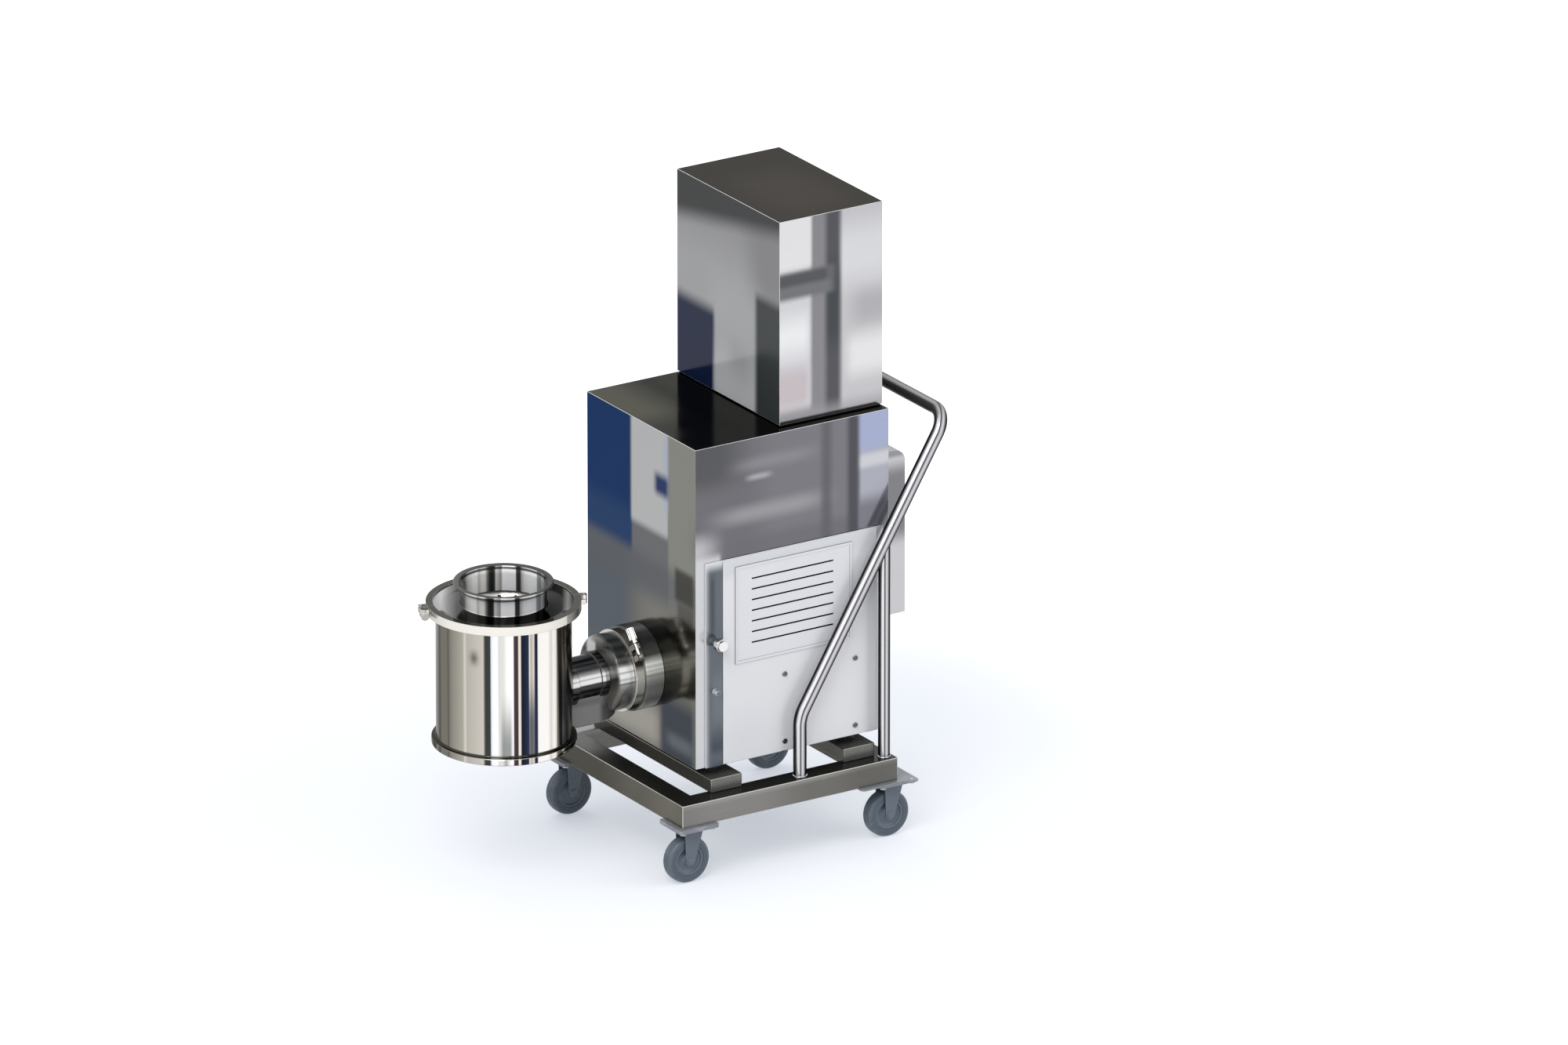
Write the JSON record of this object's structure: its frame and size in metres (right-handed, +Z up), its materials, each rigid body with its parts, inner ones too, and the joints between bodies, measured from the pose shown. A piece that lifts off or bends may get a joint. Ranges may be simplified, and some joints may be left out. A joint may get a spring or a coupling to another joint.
{
  "type": "analytical lab mill",
  "caption": "Mobile conical screen mill: steel cabinet on a swivel-castor trolley, side-mounted milling vessel with inlet collar, electrical tower and push handle.",
  "frame": {"origin": "centre of the footprint's bounding box, on the floor", "axes": "+Z up; +X from the milling vessel towards the push handle; -Y is the side with the pale panel, the vents and the latch"},
  "size_m": [1.1228, 0.546, 1.376],
  "materials": {
    "frame_steel": "satin",
    "bar_steel": "satin",
    "mount_rubber": "matte",
    "handle_tube": "satin",
    "castor_plate_steel": "satin",
    "castor_fork_paint": "satin",
    "castor_hub_plastic": "satin",
    "castor_tyre_rubber": "matte",
    "zinc_bolt": "satin",
    "cabinet_steel": "satin",
    "tower_steel": "satin",
    "base_steel": "satin",
    "seal_rubber": "matte",
    "cover_polish": "polished",
    "pale_face": "satin",
    "vent_sheet": "satin",
    "screw_steel": "satin",
    "latch_chrome": "polished",
    "box_steel": "satin",
    "gland_nickel": "satin",
    "inverter_case": "matte",
    "motor_paint": "satin",
    "shield_alloy": "satin",
    "rotor_steel": "satin",
    "fan_plastic": "matte",
    "cowl_paint": "satin",
    "saddle_steel": "satin",
    "coupling_alloy": "satin",
    "drum_steel": "polished",
    "bell_steel": "polished",
    "clamp_steel": "polished",
    "nut_steel": "polished",
    "bolt_steel": "polished",
    "spindle_tube_steel": "polished",
    "spindle_steel": "satin",
    "bearing_steel": "polished",
    "gearbox_steel": "satin",
    "gear_bronze": "satin",
    "shaft_steel": "polished",
    "impeller_steel": "polished",
    "screen_steel": "satin",
    "vessel_steel": "polished",
    "lid_steel": "polished"
  },
  "bodies": {
    "chassis": {"trolley_frame": "frame_steel", "support_bars": "bar_steel", "isolation_mounts": "mount_rubber", "push_handle": "handle_tube", "handle_posts": "handle_tube", "packing_plates": "castor_plate_steel", "castor_plates": "castor_plate_steel", "castor_bolts": "zinc_bolt", "cabinet_shell": "cabinet_steel", "cabinet_base": "base_steel", "tower_shell": "tower_steel", "tower_seal": "seal_rubber", "side_cover": "cover_polish", "face_panel": "pale_face", "vent_plate": "vent_sheet", "cover_screws": "screw_steel", "rear_box": "box_steel", "cable_gland": "gland_nickel", "inverter": "inverter_case", "motor_housing": "motor_paint", "motor_end_shields": "shield_alloy", "motor_cowl": "cowl_paint", "motor_saddle": "saddle_steel", "wall_flange": "drum_steel", "bell_housing": "bell_steel", "drive_clamp": "clamp_steel", "spindle_housing": "spindle_tube_steel", "ball_bearings": "bearing_steel", "gearbox_body": "gearbox_steel", "shaft_seal": "seal_rubber", "screen": "screen_steel", "vessel_body": "vessel_steel", "vessel_lid": "lid_steel", "lid_gasket": "seal_rubber", "lid_clamp": "clamp_steel", "clamp_hinge_pins": "bolt_steel"},
    "castor_1": {"castor_fork_1": "castor_fork_paint"},
    "wheel_1": {"castor_hub_1": "castor_hub_plastic", "castor_tyre_1": "castor_tyre_rubber"},
    "castor_2": {"castor_fork_2": "castor_fork_paint"},
    "wheel_2": {"castor_hub_2": "castor_hub_plastic", "castor_tyre_2": "castor_tyre_rubber"},
    "castor_3": {"castor_fork_3": "castor_fork_paint"},
    "wheel_3": {"castor_hub_3": "castor_hub_plastic", "castor_tyre_3": "castor_tyre_rubber"},
    "castor_4": {"castor_fork_4": "castor_fork_paint"},
    "wheel_4": {"castor_hub_4": "castor_hub_plastic", "castor_tyre_4": "castor_tyre_rubber"},
    "rotor": {"motor_rotor": "rotor_steel", "motor_fan": "fan_plastic", "shaft_coupling": "coupling_alloy", "drive_spindle": "spindle_steel"},
    "mill_shaft": {"output_gear": "gear_bronze", "output_shaft": "shaft_steel", "impeller": "impeller_steel"},
    "latch": {"latch_knob": "latch_chrome"},
    "lid_bolt": {"lid_clamp_bolt": "bolt_steel"},
    "lid_nut": {"lid_clamp_nut": "nut_steel"},
    "drive_bolt": {"drive_clamp_bolt": "bolt_steel"},
    "drive_nut": {"drive_clamp_nut": "nut_steel"}
  },
  "joints": [
    {"name": "castor_swivel_1", "type": "hinge", "parent": "chassis", "child": "castor_1", "pos_m": [-0.07458, -0.229, 0.112], "axis": [0, 0, 1], "continuous": true},
    {"name": "castor_swivel_2", "type": "hinge", "parent": "chassis", "child": "castor_2", "pos_m": [-0.07458, 0.229, 0.112], "axis": [0, 0, 1], "continuous": true},
    {"name": "castor_swivel_3", "type": "hinge", "parent": "chassis", "child": "castor_3", "pos_m": [0.41342, -0.229, 0.112], "axis": [0, 0, 1], "continuous": true},
    {"name": "castor_swivel_4", "type": "hinge", "parent": "chassis", "child": "castor_4", "pos_m": [0.41342, 0.229, 0.112], "axis": [0, 0, 1], "continuous": true},
    {"name": "wheel_spin_1", "type": "hinge", "parent": "castor_1", "child": "wheel_1", "pos_m": [-0.08258, -0.229, 0.05], "axis": [0, 1, 0], "continuous": true},
    {"name": "wheel_spin_2", "type": "hinge", "parent": "castor_2", "child": "wheel_2", "pos_m": [-0.08258, 0.229, 0.05], "axis": [0, 1, 0], "continuous": true},
    {"name": "wheel_spin_3", "type": "hinge", "parent": "castor_3", "child": "wheel_3", "pos_m": [0.40542, -0.229, 0.05], "axis": [0, 1, 0], "continuous": true},
    {"name": "wheel_spin_4", "type": "hinge", "parent": "castor_4", "child": "wheel_4", "pos_m": [0.40542, 0.229, 0.05], "axis": [0, 1, 0], "continuous": true},
    {"name": "rotor_spin", "type": "hinge", "parent": "chassis", "child": "rotor", "pos_m": [-0.04658, 0, 0.396], "axis": [1, 0, 0], "continuous": true},
    {"name": "impeller_spin", "type": "hinge", "parent": "chassis", "child": "mill_shaft", "pos_m": [-0.37958, 0, 0.396], "axis": [0, 0, 1], "continuous": true},
    {"name": "latch_turn", "type": "hinge", "parent": "chassis", "child": "latch", "pos_m": [-0.00244, -0.21, 0.505], "axis": [0, 1, 0], "range_deg": [0, 90]},
    {"name": "lid_bolt_swing", "type": "hinge", "parent": "chassis", "child": "lid_bolt", "pos_m": [-0.53616, 0.06976, 0.59575], "axis": [0, 0, -1], "range_deg": [0, 100]},
    {"name": "lid_nut_turn", "type": "hinge", "parent": "lid_bolt", "child": "lid_nut", "pos_m": [-0.54984, 0.03217, 0.59575], "axis": [-0.342, -0.9397, 0], "continuous": true},
    {"name": "drive_bolt_swing", "type": "hinge", "parent": "chassis", "child": "drive_bolt", "pos_m": [-0.10178, -0.08279, 0.4498], "axis": [1, 0, 0], "range_deg": [0, 100]},
    {"name": "drive_nut_turn", "type": "hinge", "parent": "drive_bolt", "child": "drive_nut", "pos_m": [-0.10178, -0.05257, 0.4858], "axis": [0, 0.6428, 0.766], "continuous": true}
  ],
  "couplings": [
    {"joint": "impeller_spin", "follows": "rotor_spin", "ratio": -1}
  ]
}
